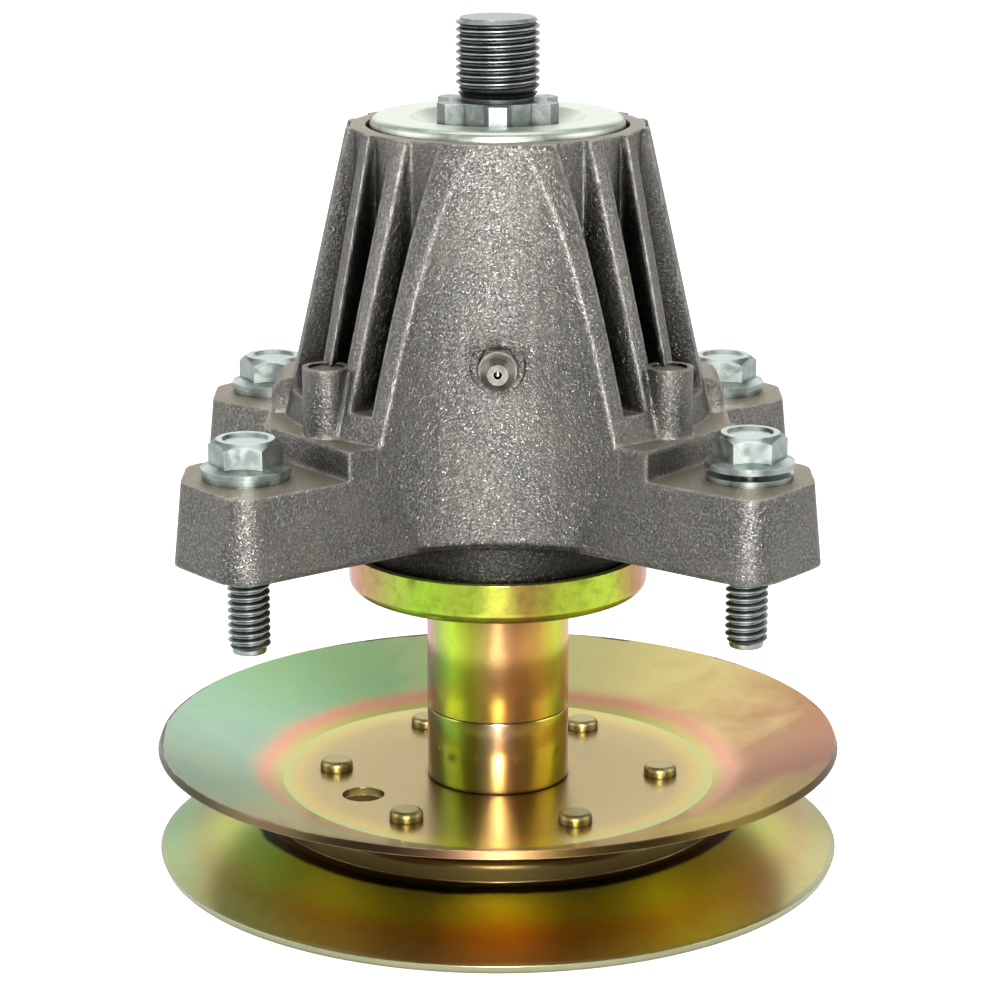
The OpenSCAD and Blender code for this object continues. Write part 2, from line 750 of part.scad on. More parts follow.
module bolt_washers() {
    color([0.6, 0.62, 0.6]) for (spot = bolt_spots) translate([spot[0], spot[1], 0])
        ring(foot_top, washer_t, washer_d / 2, bolt_d / 2 + bolt_clear);
}

// Grease fitting, drawn along +Z from the wall it is screwed into
module grease_fitting_body() {
    wall = panel_y - cavity_d / 2;
    hex_r = grease_af / 2 / cos(30);
    bore_r = check_ball_d / 3;
    chamber_r = check_ball_d / 2 + check_clear;
    mouth_h = check_ball_d / 6;
    chamber_h = check_ball_d + check_travel + check_clear;
    nozzle_r = nozzle_d / 2;
    tip = grease_hex_h + nozzle_h;
    color([0.72, 0.72, 0.7]) translate([0, -panel_y, grease_z]) rotate([90, 0, 0]) difference() {
        union() {
            translate([0, 0, -wall]) cylinder(h = wall, d = grease_thread_d);
            intersection() {
                cylinder(h = grease_hex_h, r = hex_r, $fn = 6);
                cylinder(h = grease_hex_h, r1 = hex_r + grease_hex_h, r2 = grease_af / 2);
            }
            rotate_extrude() polygon([
                [0, 0], [nozzle_neck_d / 2, 0], [nozzle_neck_d / 2, grease_hex_h + nozzle_h / 3],
                [nozzle_r, grease_hex_h + nozzle_h * nozzle_low_share], [nozzle_r, grease_hex_h + nozzle_h * nozzle_high_share],
                [chamber_r + check_ball_d / 4, tip], [0, tip]]);
        }
        translate([0, 0, -wall - overrun]) cylinder(h = wall + tip, r = bore_r);
        translate([0, 0, tip - mouth_h - chamber_h]) cylinder(h = chamber_h, r = chamber_r);
        translate([0, 0, tip - mouth_h - overrun]) cylinder(h = mouth_h + 2 * overrun, r = bore_r);
    }
}

module grease_fitting_ball() {
    tip = grease_hex_h + nozzle_h;
    mouth_h = check_ball_d / 6;
    color([0.9, 0.9, 0.9]) translate([0, -panel_y, grease_z]) rotate([90, 0, 0])
        translate([0, 0, tip - mouth_h - check_ball_d / 2 - check_clear]) sphere(d = check_ball_d);
}

housing();
spindle_shaft();
blade_side_shield();
dust_cup();
spacer_sleeve();
bearing_spacer();
blade_bearing_outer_race();
blade_bearing_inner_race();
blade_bearing_balls();
blade_bearing_cage();
blade_bearing_seals();
pulley_bearing_outer_race();
pulley_bearing_inner_race();
pulley_bearing_balls();
pulley_bearing_cage();
pulley_bearing_seals();
pulley_hub();
pulley_upper_disc();
pulley_lower_disc();
pulley_rivets();
pulley_nut();
grease_fitting_body();
grease_fitting_ball();
mounting_bolts();
bolt_washers();
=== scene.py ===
"""Mower deck spindle: threads, finishes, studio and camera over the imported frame.

Lengths are in metres, in the frame of the part: the origin is on the shaft's axis in the
plane of the lower pulley rim, +Z runs to the blade end and -Y to the grease fitting.
"""

import logging
import math
from dataclasses import dataclass, field
from enum import Enum
from typing import Optional, Sequence, Union

import bpy
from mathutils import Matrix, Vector

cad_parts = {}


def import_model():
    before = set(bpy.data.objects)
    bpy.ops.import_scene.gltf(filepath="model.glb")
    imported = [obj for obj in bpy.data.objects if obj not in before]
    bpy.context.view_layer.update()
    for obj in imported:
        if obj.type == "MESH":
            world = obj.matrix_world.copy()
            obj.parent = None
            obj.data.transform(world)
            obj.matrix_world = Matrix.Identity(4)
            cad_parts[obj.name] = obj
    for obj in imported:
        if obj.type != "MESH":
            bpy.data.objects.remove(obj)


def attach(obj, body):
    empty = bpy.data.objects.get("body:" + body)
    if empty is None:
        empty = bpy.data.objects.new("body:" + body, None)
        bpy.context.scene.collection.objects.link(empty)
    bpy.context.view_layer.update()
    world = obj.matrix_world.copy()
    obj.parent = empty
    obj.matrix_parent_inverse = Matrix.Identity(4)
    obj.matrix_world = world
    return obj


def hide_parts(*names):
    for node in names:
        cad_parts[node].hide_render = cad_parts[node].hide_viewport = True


LOG = logging.getLogger("mower_deck_spindle")
MM = 0.001

Colour = tuple[float, float, float]
Value = Union[float, Sequence[float], bpy.types.NodeSocket]


def paint(hex_code: str) -> tuple[float, float, float, float]:
    """Turn a colour as it looks on a screen into the linear one that shaders use.

    Args:
        hex_code: Six hexadecimal digits, such as "8a7f70".

    Returns:
        Linear red, green, blue and an alpha of 1.
    """
    parts = [int(hex_code[i:i + 2], 16) / 255 for i in (0, 2, 4)]
    line = [p / 12.92 if p <= 0.04045 else ((p + 0.055) / 1.055) ** 2.4 for p in parts]
    return (line[0], line[1], line[2], 1.0)


class Graph:
    """Adds nodes to one shader tree and joins them."""

    def __init__(self, tree: bpy.types.NodeTree) -> None:
        """Start on an empty tree.

        Args:
            tree: The node tree of a material, a world or a group.
        """
        self.tree = tree
        self.tree.nodes.clear()
        self.count = 0

    def add(self, kind: str, **settings: object) -> bpy.types.Node:
        """Add a node.

        Args:
            kind: The node's type, without the leading "ShaderNode".
            settings: Properties of the node.

        Returns:
            The new node.
        """
        name = kind if kind.startswith("Node") else f"ShaderNode{kind}"
        node = self.tree.nodes.new(name)
        for key, value in settings.items():
            setattr(node, key, value)
        node.location = (200 * (self.count % 12), -260 * (self.count // 12))
        self.count += 1
        return node

    def feed(self, socket: bpy.types.NodeSocket, value: Value) -> None:
        """Link a socket to another one, or give it a fixed value.

        Args:
            socket: The input socket.
            value: An output socket, a number or a colour.
        """
        if isinstance(value, bpy.types.NodeSocket):
            self.tree.links.new(value, socket)
        else:
            socket.default_value = value

    def math(self, operation: str, a: Value, b: Value = 0.0, clamp: bool = False) -> bpy.types.NodeSocket:
        """Combine two numbers.

        Args:
            operation: The name of the operation, such as "MULTIPLY".
            a: The first number.
            b: The second number.
            clamp: Whether the result stays between 0 and 1.

        Returns:
            The result's socket.
        """
        node = self.add("Math", operation=operation, use_clamp=clamp)
        self.feed(node.inputs[0], a)
        self.feed(node.inputs[1], b)
        return node.outputs[0]

    def span(self, value: Value, low: Value, high: Value, to_low: float = 0.0,
             to_high: float = 1.0) -> bpy.types.NodeSocket:
        """Ease a number from one range to another.

        Args:
            value: The number.
            low: Where the range starts.
            high: Where the range ends.
            to_low: The result at its start.
            to_high: The result at its end.

        Returns:
            The result's socket.
        """
        node = self.add("MapRange", interpolation_type="SMOOTHSTEP")
        for socket, item in zip(node.inputs[:5], (value, low, high, to_low, to_high)):
            self.feed(socket, item)
        return node.outputs[0]

    def mix(self, share: Value, a: Value, b: Value, mode: str = "MIX") -> bpy.types.NodeSocket:
        """Mix two colours.

        Args:
            share: How much of the second colour is used, from 0 to 1.
            a: The first colour.
            b: The second colour.
            mode: How they are blended.

        Returns:
            The mixed colour's socket.
        """
        node = self.add("Mix", data_type="RGBA", blend_type=mode)
        self.feed(node.inputs["Factor"], share)
        self.feed(node.inputs[6], a)
        self.feed(node.inputs[7], b)
        return node.outputs[2]

    def ramp(self, share: Value, stops: Sequence[tuple[float, str]]) -> bpy.types.NodeSocket:
        """Colour a number by a row of stops.

        Args:
            share: The number, from 0 to 1.
            stops: Places from 0 to 1, each with its colour's digits.

        Returns:
            The colour's socket.
        """
        node = self.add("ValToRGB")
        row = node.color_ramp.elements
        while len(row) < len(stops):
            row.new(1.0)
        for element, (place, code) in zip(row, stops):
            element.position = place
            element.color = paint(code)
        self.feed(node.inputs[0], share)
        return node.outputs[0]

    def noise(self, vector: bpy.types.NodeSocket, size_mm: float, detail: float = 2.0,
              roughness: float = 0.5, distortion: float = 0.0) -> bpy.types.NodeSocket:
        """Add soft noise.

        Args:
            vector: The place on the surface, in metres.
            size_mm: The size of a patch.
            detail: How many finer layers are added.
            roughness: How strong those are.
            distortion: How far the patches are bent.

        Returns:
            A number from 0 to 1, about a half on average.
        """
        node = self.add("TexNoise")
        self.feed(node.inputs["Vector"], vector)
        for name, value in (("Scale", 1 / (size_mm * MM)), ("Detail", detail),
                            ("Roughness", roughness), ("Distortion", distortion)):
            node.inputs[name].default_value = value
        return node.outputs[0]

    def bump(self, height: Value, depth_mm: float, normal: Optional[bpy.types.NodeSocket] = None,
             strength: float = 1.0) -> bpy.types.NodeSocket:
        """Turn a height into a bent normal.

        Args:
            height: The height, from 0 to 1.
            depth_mm: The depth between 0 and 1.
            normal: The normal that is bent, or None for the surface's own.
            strength: How strongly it is bent.

        Returns:
            The normal's socket.
        """
        node = self.add("Bump")
        node.inputs["Strength"].default_value = strength
        node.inputs["Distance"].default_value = depth_mm * MM
        self.feed(node.inputs["Height"], height)
        if normal is not None:
            self.feed(node.inputs["Normal"], normal)
        return node.outputs[0]


class Effect:
    """A node group that several finishes share."""

    def __init__(self, name: str, inputs: dict[str, float], outputs: dict[str, str]) -> None:
        """Make the empty group.

        Args:
            name: The group's name.
            inputs: Named numbers with their usual values.
            outputs: Named results with their kinds, "Float", "Color" or "Vector".
        """
        self.group = bpy.data.node_groups.new(name, "ShaderNodeTree")
        self.graph = Graph(self.group)
        face = self.group.interface
        for key, value in inputs.items():
            socket = face.new_socket(name=key, in_out="INPUT", socket_type="NodeSocketFloat")
            socket.default_value = value
        for key, kind in outputs.items():
            face.new_socket(name=key, in_out="OUTPUT", socket_type=f"NodeSocket{kind}")
        self.into = self.group.nodes.new("NodeGroupInput")
        self.out = self.group.nodes.new("NodeGroupOutput")
        self.place = self.graph.add("TexCoord").outputs["Object"]

    def place_in(self, graph: Graph, **values: Value) -> bpy.types.Node:
        """Put the group in a material.

        Args:
            graph: The material's graph.
            values: Values or sockets for the group's inputs, with spaces as underscores.

        Returns:
            The group's node in that material.
        """
        node = graph.add("Group", node_tree=self.group)
        for key, value in values.items():
            graph.feed(node.inputs[key.replace("_", " ")], value)
        return node


class SharedEffects:
    """The effects that more than one finish uses, each made once."""

    def __init__(self) -> None:
        """Build the groups."""
        self.wear_and_glint = self._wear_and_glint()
        self.cast_skin = self._cast_skin()
        self.plating = self._plating()
        self.hollow = self._hollow()
        self.film = self._film()

    @staticmethod
    def _wear_and_glint() -> Effect:
        """Make the mask of worn edges, which also paints a highlight along them: 1 along sharp edges, broken up by
        noise.
        """
        effect = Effect("edge_wear_and_glint", {"Width": 0.0005, "Break up": 0.5}, {"Edge": "Float"})
        g = effect.graph
        round_off = g.add("Bevel", samples=4)
        g.feed(round_off.inputs["Radius"], effect.into.outputs["Width"])
        plain = g.add("NewGeometry").outputs["Normal"]
        dot = g.add("VectorMath", operation="DOT_PRODUCT")
        g.feed(dot.inputs[0], round_off.outputs[0])
        g.feed(dot.inputs[1], plain)
        sharp = g.span(dot.outputs["Value"], 0.995, 0.86)
        patchy = g.span(g.noise(effect.place, 2.2, 4.0, 0.65), 0.35, 0.62)
        share = g.math("SUBTRACT", 1.0, g.math("MULTIPLY", effect.into.outputs["Break up"],
                                               g.math("SUBTRACT", 1.0, patchy)))
        g.feed(effect.out.inputs["Edge"], g.math("MULTIPLY", sharp, share, clamp=True))
        return effect

    @staticmethod
    def _cast_skin() -> Effect:
        """Make the wrinkled, shot-blasted skin of a casting."""
        effect = Effect("cast_skin", {"Grain": 1.0},
                        {"Height": "Float", "Speckle": "Float", "Cloud": "Float"})
        g = effect.graph
        fold = g.math("ABSOLUTE", g.math("SUBTRACT", g.noise(effect.place, 0.8, 2.0, 0.55, 0.9), 0.5))
        wrinkle = g.span(fold, 0.0, 0.2)
        grain = g.noise(effect.place, 0.36, 2.0, 0.6)
        swell = g.noise(effect.place, 9.0, 2.0, 0.5)
        height = g.math("ADD", g.math("MULTIPLY", wrinkle, 0.6), g.math("MULTIPLY", grain, 0.45))
        height = g.math("ADD", height, g.math("MULTIPLY", swell, 1.6))
        g.feed(effect.out.inputs["Height"], g.math("MULTIPLY", height, effect.into.outputs["Grain"]))
        fine = g.noise(effect.place, 0.45, 3.0, 0.7)
        g.feed(effect.out.inputs["Speckle"], g.span(fine, 0.42, 0.66))
        g.feed(effect.out.inputs["Cloud"], g.span(g.noise(effect.place, 14.0, 3.0, 0.6), 0.34, 0.66))
        return effect

    @staticmethod
    def _hollow() -> Effect:
        """Make the mask of painted shade: dark in narrow places where ambient occlusion finds them closed in,
        standing in for the shade that falls there.
        """
        effect = Effect("hollow", {"Reach": 0.012, "Open": 0.6, "Shut": 0.3}, {"Deep": "Float"})
        g = effect.graph
        shut = g.add("AmbientOcclusion", samples=5)
        g.feed(shut.inputs["Distance"], effect.into.outputs["Reach"])
        g.feed(effect.out.inputs["Deep"],
               g.span(shut.outputs["AO"], effect.into.outputs["Open"], effect.into.outputs["Shut"]))
        return effect

    @staticmethod
    def _plating() -> Effect:
        """Make the clouds, spangles and fine scratches of plated steel."""
        effect = Effect("plated_steel", {"Scratch": 1.0},
                        {"Cloud": "Float", "Spangle": "Float", "Height": "Float"})
        g = effect.graph
        g.feed(effect.out.inputs["Cloud"], g.span(g.noise(effect.place, 3.4, 4.0, 0.6, 0.4), 0.3, 0.7))
        g.feed(effect.out.inputs["Spangle"], g.span(g.noise(effect.place, 0.5, 3.0, 0.7), 0.38, 0.68))
        thin = g.add("Mapping")
        g.feed(thin.inputs["Vector"], effect.place)
        thin.inputs["Scale"].default_value = (1.0, 1.0, 6.0)
        scratch = g.math("MULTIPLY", g.noise(thin.outputs[0], 0.8, 3.0, 0.7), effect.into.outputs["Scratch"])
        g.feed(effect.out.inputs["Height"], scratch)
        return effect

    @staticmethod
    def _film() -> Effect:
        """Make where a point of a film lies: round the axis from 0 at -X over the front, and out."""
        effect = Effect("film_place", {"Drift": 0.06}, {"Round": "Float", "Radius": "Float", "Stain": "Float"})
        g = effect.graph
        parts = g.add("SeparateXYZ")
        g.feed(parts.inputs[0], effect.place)
        x, y, _ = parts.outputs
        radius = g.math("SQRT", g.math("ADD", g.math("MULTIPLY", x, x), g.math("MULTIPLY", y, y)))
        turn = g.math("ADD", g.math("DIVIDE", g.math("ARCTAN2", y, x), 2 * math.pi), 0.5)
        sway = g.math("SUBTRACT", g.noise(effect.place, 26.0, 3.0, 0.55, 0.8), 0.5)
        drift = g.math("MULTIPLY", sway, effect.into.outputs["Drift"])
        g.feed(effect.out.inputs["Round"], g.math("PINGPONG", g.math("ADD", turn, drift), 1.0))
        g.feed(effect.out.inputs["Radius"], g.math("ADD", radius, g.math("MULTIPLY", drift, 0.02)))
        g.feed(effect.out.inputs["Stain"], g.span(g.noise(effect.place, 2.4, 5.0, 0.68, 0.5), 0.4, 0.72))
        return effect


class Finish:
    """A surface that can be put on pieces."""

    title: str = "finish"

    def shader(self, graph: Graph, effects: SharedEffects) -> bpy.types.Node:
        """Make the shader.

        Args:
            graph: The material's graph.
            effects: The shared groups.

        Returns:
            The Principled node.
        """
        raise NotImplementedError

    def material(self, effects: SharedEffects) -> bpy.types.Material:
        """Make the material.

        Args:
            effects: The shared groups.

        Returns:
            The finished material.
        """
        made = bpy.data.materials.new(self.title)
        made.use_nodes = True
        graph = Graph(made.node_tree)
        shader = self.shader(graph, effects)
        output = graph.add("OutputMaterial")
        graph.feed(output.inputs["Surface"], shader.outputs[0])
        return made


@dataclass(frozen=True)
class CastAluminium(Finish):
    """Shot-blasted cast aluminium as it leaves the foundry."""

    title: str = "cast_aluminium"
    low: str = "575551"
    high: str = "b2b1ae"
    tint: str = "75726a"
    # Paler tone painted on faces that look up, as if lit from above: painted light.
    level: str = "958d7c"
    # Pale colour of worn edges, which also paints a highlight along them.
    edge: str = "d8d5ce"
    round_mm: float = 1.6
    # Near-black colour of the painted shade among the ribs and under the arch.
    painted_dark: str = "0c0b09"
    painted_dark_share: float = 0.97
    reach_mm: float = 20.0
    relief_mm: float = 0.11

    def shader(self, graph: Graph, effects: SharedEffects) -> bpy.types.Node:
        """Make a wrinkled metal with worn edges that also carry a painted highlight, rougher faces that look up
        with a painted paler tone, and painted shade among the ribs and under the arch (see Finish.shader).
        """
        skin = effects.cast_skin.place_in(graph, Grain=1.0)
        wear_and_glint = effects.wear_and_glint.place_in(graph, Width=0.9 * MM, Break_up=0.8)
        body = graph.mix(graph.math("MULTIPLY", skin.outputs["Speckle"], 0.45), paint(self.low), paint(self.high))
        body = graph.mix(graph.math("MULTIPLY", skin.outputs["Cloud"], 0.5), body, paint(self.tint))
        facing = graph.add("SeparateXYZ")
        graph.feed(facing.inputs[0], graph.add("NewGeometry").outputs["Normal"])
        # Painted light: faces that look up are mixed towards the paler level colour. The same mask makes them
        # rougher and lessens the painted shade on them.
        faces_up = graph.span(facing.outputs[2], 0.55, 0.95)
        body = graph.mix(graph.math("MULTIPLY", faces_up, 0.75), body, paint(self.level))
        # Worn edges with a painted highlight: sharp edges are mixed towards the pale edge colour.
        body = graph.mix(graph.math("MULTIPLY", wear_and_glint.outputs["Edge"], 0.6), body, paint(self.edge))
        # Painted shade: where ambient occlusion is low, the colour goes near black above about 90 mm among the ribs
        # and below about 82 mm under the arch, less on faces that look up.
        painted_dark = effects.hollow.place_in(graph, Reach=self.reach_mm * MM, Open=0.74, Shut=0.4)
        height = graph.add("SeparateXYZ")
        graph.feed(height.inputs[0], graph.add("TexCoord").outputs["Object"])
        shade_among_ribs = graph.math("MAXIMUM", graph.span(height.outputs[2], 90 * MM, 98 * MM, 0.0, self.painted_dark_share),
                                graph.span(height.outputs[2], 82 * MM, 76 * MM, 0.0, self.painted_dark_share))
        shut = graph.math("MULTIPLY", painted_dark.outputs["Deep"], graph.math("MULTIPLY", shade_among_ribs, graph.math(
            "SUBTRACT", 1.0, graph.math("MULTIPLY", faces_up, 0.8))))
        body = graph.mix(shut, body, paint(self.painted_dark))
        x, y, z = height.outputs
        radius = graph.math("SQRT", graph.math("ADD", graph.math("MULTIPLY", x, x), graph.math("MULTIPLY", y, y)))
        # Painted shade under the arch: below about 70 mm and within about 37 mm of the axis, the boss is painted
        # dark.
        arch_shade = graph.math("MULTIPLY", graph.span(z, 70.8 * MM, 69.8 * MM), graph.span(radius, 37 * MM, 34 * MM, 0.0, 0.72))
        body = graph.mix(arch_shade, body, paint(self.painted_dark))
        node = graph.add("BsdfPrincipled")
        graph.feed(node.inputs["Base Color"], body)
        node.inputs["Metallic"].default_value = 1.0
        rough = graph.span(skin.outputs["Speckle"], 0.0, 1.0, 0.42, 0.3)
        graph.feed(node.inputs["Roughness"], graph.math("ADD", rough, graph.math("MULTIPLY", faces_up, 0.14)))
        soft = graph.add("Bevel", samples=4)
        soft.inputs["Radius"].default_value = self.round_mm * MM
        graph.feed(node.inputs["Normal"], graph.bump(skin.outputs["Height"], self.relief_mm, soft.outputs[0]))
        return node


@dataclass(frozen=True)
class PlatedSteel(Finish):
    """Steel with a clear or coloured zinc coat, or bare polished steel."""

    title: str = "zinc_steel"
    low: str = "8c9794"
    high: str = "b0bab4"
    stain: str = "8d958f"
    stain_share: float = 0.15
    # Pale colour of worn edges, which also paints a highlight along them.
    edge: str = "f4f6f4"
    edge_share: float = 0.6
    rough: tuple[float, float] = (0.28, 0.4)
    scratch_mm: float = 0.004
    # Near-black colour of the painted shade in grooves.
    painted_dark: str = "141311"
    reach_mm: float = 1.3
    open: float = 0.8
    shut: float = 0.42

    def shader(self, graph: Graph, effects: SharedEffects) -> bpy.types.Node:
        """Make a bright, mottled metal with painted shade in its grooves (see Finish.shader)."""
        coat = effects.plating.place_in(graph, Scratch=1.0)
        wear_and_glint = effects.wear_and_glint.place_in(graph, Width=0.22 * MM, Break_up=0.12)
        body = graph.mix(coat.outputs["Cloud"], paint(self.low), paint(self.high))
        spots = graph.math("MULTIPLY", coat.outputs["Spangle"], self.stain_share)
        body = graph.mix(spots, body, paint(self.stain))
        # Worn edges with a painted highlight: sharp edges are mixed towards the pale edge colour.
        body = graph.mix(graph.math("MULTIPLY", wear_and_glint.outputs["Edge"], self.edge_share), body, paint(self.edge))
        # Painted shade: narrow grooves are mixed towards the dark colour where ambient occlusion is low.
        painted_dark = effects.hollow.place_in(graph, Reach=self.reach_mm * MM, Open=self.open, Shut=self.shut)
        body = graph.mix(graph.math("MULTIPLY", painted_dark.outputs["Deep"], 0.9), body, paint(self.painted_dark))
        node = graph.add("BsdfPrincipled")
        graph.feed(node.inputs["Base Color"], body)
        node.inputs["Metallic"].default_value = 1.0
        graph.feed(node.inputs["Roughness"], graph.span(coat.outputs["Cloud"], 0.0, 1.0, *self.rough))
        graph.feed(node.inputs["Normal"], graph.bump(coat.outputs["Height"], self.scratch_mm))
        return node


@dataclass(frozen=True)
class YellowChromate(Finish):
    """Yellow passivated zinc, whose thin film shows rainbow colours round and out from the axis."""

    title: str = "yellow_zinc"
    around: tuple[tuple[float, str], ...] = ((0.0, "a9c68c"), (0.5, "cfa860"), (1.0, "a9c68c"))
    outward: tuple[tuple[float, str], ...] = ()
    from_mm: float = 0.0
    to_mm: float = 1.0
    keep: tuple[float, float] = (0.0, 1.0)
    drift: float = 0.06
    stain: str = "5f4c22"
    stain_share: float = 0.12
    # Pale colour of worn edges, which also paints a highlight along them.
    edge: str = "f0d9b0"
    rough: tuple[float, float] = (0.16, 0.24)
    # Dark brown colour of the painted shade in corners.
    painted_dark: str = "241c0c"
    metal: float = 1.0
    rim: str = ""
    rim_mm: float = 66.6
    reach_mm: float = 1.6
    open: float = 0.66
    shut: float = 0.46

    def shader(self, graph: Graph, effects: SharedEffects) -> bpy.types.Node:
        """Make an iridescent metal with painted shade in its corners (see Finish.shader)."""
        film = effects.film.place_in(graph, Drift=self.drift)
        coat = effects.plating.place_in(graph, Scratch=1.0)
        wear_and_glint = effects.wear_and_glint.place_in(graph, Width=0.4 * MM, Break_up=0.6)
        body = graph.ramp(film.outputs["Round"], self.around)
        if self.outward:
            share = graph.span(film.outputs["Radius"], self.from_mm * MM, self.to_mm * MM)
            inner = graph.ramp(share, self.outward)
            body = graph.mix(graph.span(share, *self.keep), inner, body)
        if self.rim:
            at_rim = graph.span(film.outputs["Radius"], self.rim_mm * MM, (self.rim_mm + 0.2) * MM, 0.0, 0.85)
            body = graph.mix(at_rim, body, paint(self.rim))
        marks = graph.math("MULTIPLY", film.outputs["Stain"], self.stain_share)
        body = graph.mix(marks, body, paint(self.stain))
        # Worn edges with a painted highlight: sharp edges are mixed towards the pale edge colour.
        body = graph.mix(graph.math("MULTIPLY", wear_and_glint.outputs["Edge"], 0.5), body, paint(self.edge))
        # Painted shade: corners and creases are mixed towards the dark colour where ambient occlusion is low.
        painted_dark = effects.hollow.place_in(graph, Reach=self.reach_mm * MM, Open=self.open, Shut=self.shut)
        body = graph.mix(graph.math("MULTIPLY", painted_dark.outputs["Deep"], 0.92), body, paint(self.painted_dark))
        node = graph.add("BsdfPrincipled")
        graph.feed(node.inputs["Base Color"], body)
        node.inputs["Metallic"].default_value = self.metal
        graph.feed(node.inputs["Roughness"], graph.span(coat.outputs["Spangle"], 0.0, 1.0, *self.rough))
        soft = graph.add("Bevel", samples=4)
        soft.inputs["Radius"].default_value = 0.3 * MM
        graph.feed(node.inputs["Normal"], graph.bump(coat.outputs["Height"], 0.002, soft.outputs[0]))
        return node


@dataclass(frozen=True)
class SealRubber(Finish):
    """Moulded black rubber."""

    title: str = "seal_rubber"
    low: str = "141414"
    high: str = "2b2a28"

    def shader(self, graph: Graph, effects: SharedEffects) -> bpy.types.Node:
        """Make a matt, slightly dusty rubber (see Finish.shader)."""
        skin = effects.cast_skin.place_in(graph, Grain=0.3)
        node = graph.add("BsdfPrincipled")
        graph.feed(node.inputs["Base Color"], graph.mix(skin.outputs["Cloud"], paint(self.low), paint(self.high)))
        graph.feed(node.inputs["Roughness"], graph.span(skin.outputs["Speckle"], 0.0, 1.0, 0.55, 0.75))
        graph.feed(node.inputs["Normal"], graph.bump(skin.outputs["Height"], 0.03))
        return node


class Axis(Enum):
    """Which way a bisected mesh is kept."""

    ABOVE = "above"
    BELOW = "below"


class Bench:
    """The hand tools: each works on the one piece that it is given."""

    @staticmethod
    def hold(piece: bpy.types.Object) -> None:
        """Select one piece alone.

        Args:
            piece: The piece.
        """
        if bpy.context.object and bpy.context.object.mode != "OBJECT":
            bpy.ops.object.mode_set(mode="OBJECT")
        bpy.ops.object.select_all(action="DESELECT")
        bpy.context.view_layer.objects.active = piece
        piece.select_set(True)

    @classmethod
    def copy_of(cls, node: str, name: str) -> bpy.types.Object:
        """Copy a CAD node with its loose triangles merged.

        Args:
            node: The node's name.
            name: The copy's name.

        Returns:
            The copy.
        """
        source = bpy.data.objects[node]
        piece = source.copy()
        piece.data = source.data.copy()
        piece.name = name
        bpy.context.scene.collection.objects.link(piece)
        cls.merge(piece)
        return piece

    @classmethod
    def merge(cls, piece: bpy.types.Object, gap: float = 1e-6) -> None:
        """Merge doubled points and point the faces outwards.

        Args:
            piece: The piece.
            gap: How close two points have to be.
        """
        cls.hold(piece)
        bpy.ops.object.mode_set(mode="EDIT")
        bpy.ops.mesh.select_all(action="SELECT")
        bpy.ops.mesh.remove_doubles(threshold=gap)
        bpy.ops.mesh.normals_make_consistent(inside=False)
        bpy.ops.object.mode_set(mode="OBJECT")

    @classmethod
    def cut(cls, piece: bpy.types.Object, height: float, keep: Axis) -> None:
        """Cut a piece level and close the cut.

        Args:
            piece: The piece.
            height: The height of the cut.
            keep: The side that stays.
        """
        cls.hold(piece)
        bpy.ops.object.mode_set(mode="EDIT")
        bpy.ops.mesh.select_all(action="SELECT")
        bpy.ops.mesh.bisect(plane_co=(0, 0, height), plane_no=(0, 0, 1), use_fill=True,
                            clear_inner=keep is Axis.ABOVE, clear_outer=keep is Axis.BELOW)
        bpy.ops.object.mode_set(mode="OBJECT")

    @classmethod
    def join(cls, pieces: Sequence[bpy.types.Object], name: str) -> bpy.types.Object:
        """Join pieces into the first one.

        Args:
            pieces: The pieces.
            name: The joined piece's name.

        Returns:
            The joined piece.
        """
        cls.hold(pieces[0])
        for piece in pieces[1:]:
            piece.select_set(True)
        bpy.ops.object.join()
        pieces[0].name = name
        return pieces[0]

    @classmethod
    def place(cls, piece: bpy.types.Object, spot: Sequence[float]) -> None:
        """Move a piece and put its place into its mesh.

        Args:
            piece: The piece.
            spot: How far it moves.
        """
        cls.hold(piece)
        piece.location = Vector(piece.location) + Vector(spot)
        bpy.ops.object.transform_apply(location=True, rotation=True, scale=True)

    @classmethod
    def smooth(cls, piece: bpy.types.Object, angle: float = 32.0) -> None:
        """Shade a piece smooth up to an angle.

        Args:
            piece: The piece.
            angle: The largest angle that stays smooth, in degrees.
        """
        cls.hold(piece)
        bpy.ops.mesh.customdata_custom_splitnormals_clear()
        bpy.ops.object.shade_smooth_by_angle(angle=math.radians(angle), keep_sharp_edges=False)

    @classmethod
    def dress(cls, piece: bpy.types.Object, material: bpy.types.Material) -> None:
        """Put one material on a piece.

        Args:
            piece: The piece.
            material: The material.
        """
        piece.data.materials.clear()
        piece.data.materials.append(material)


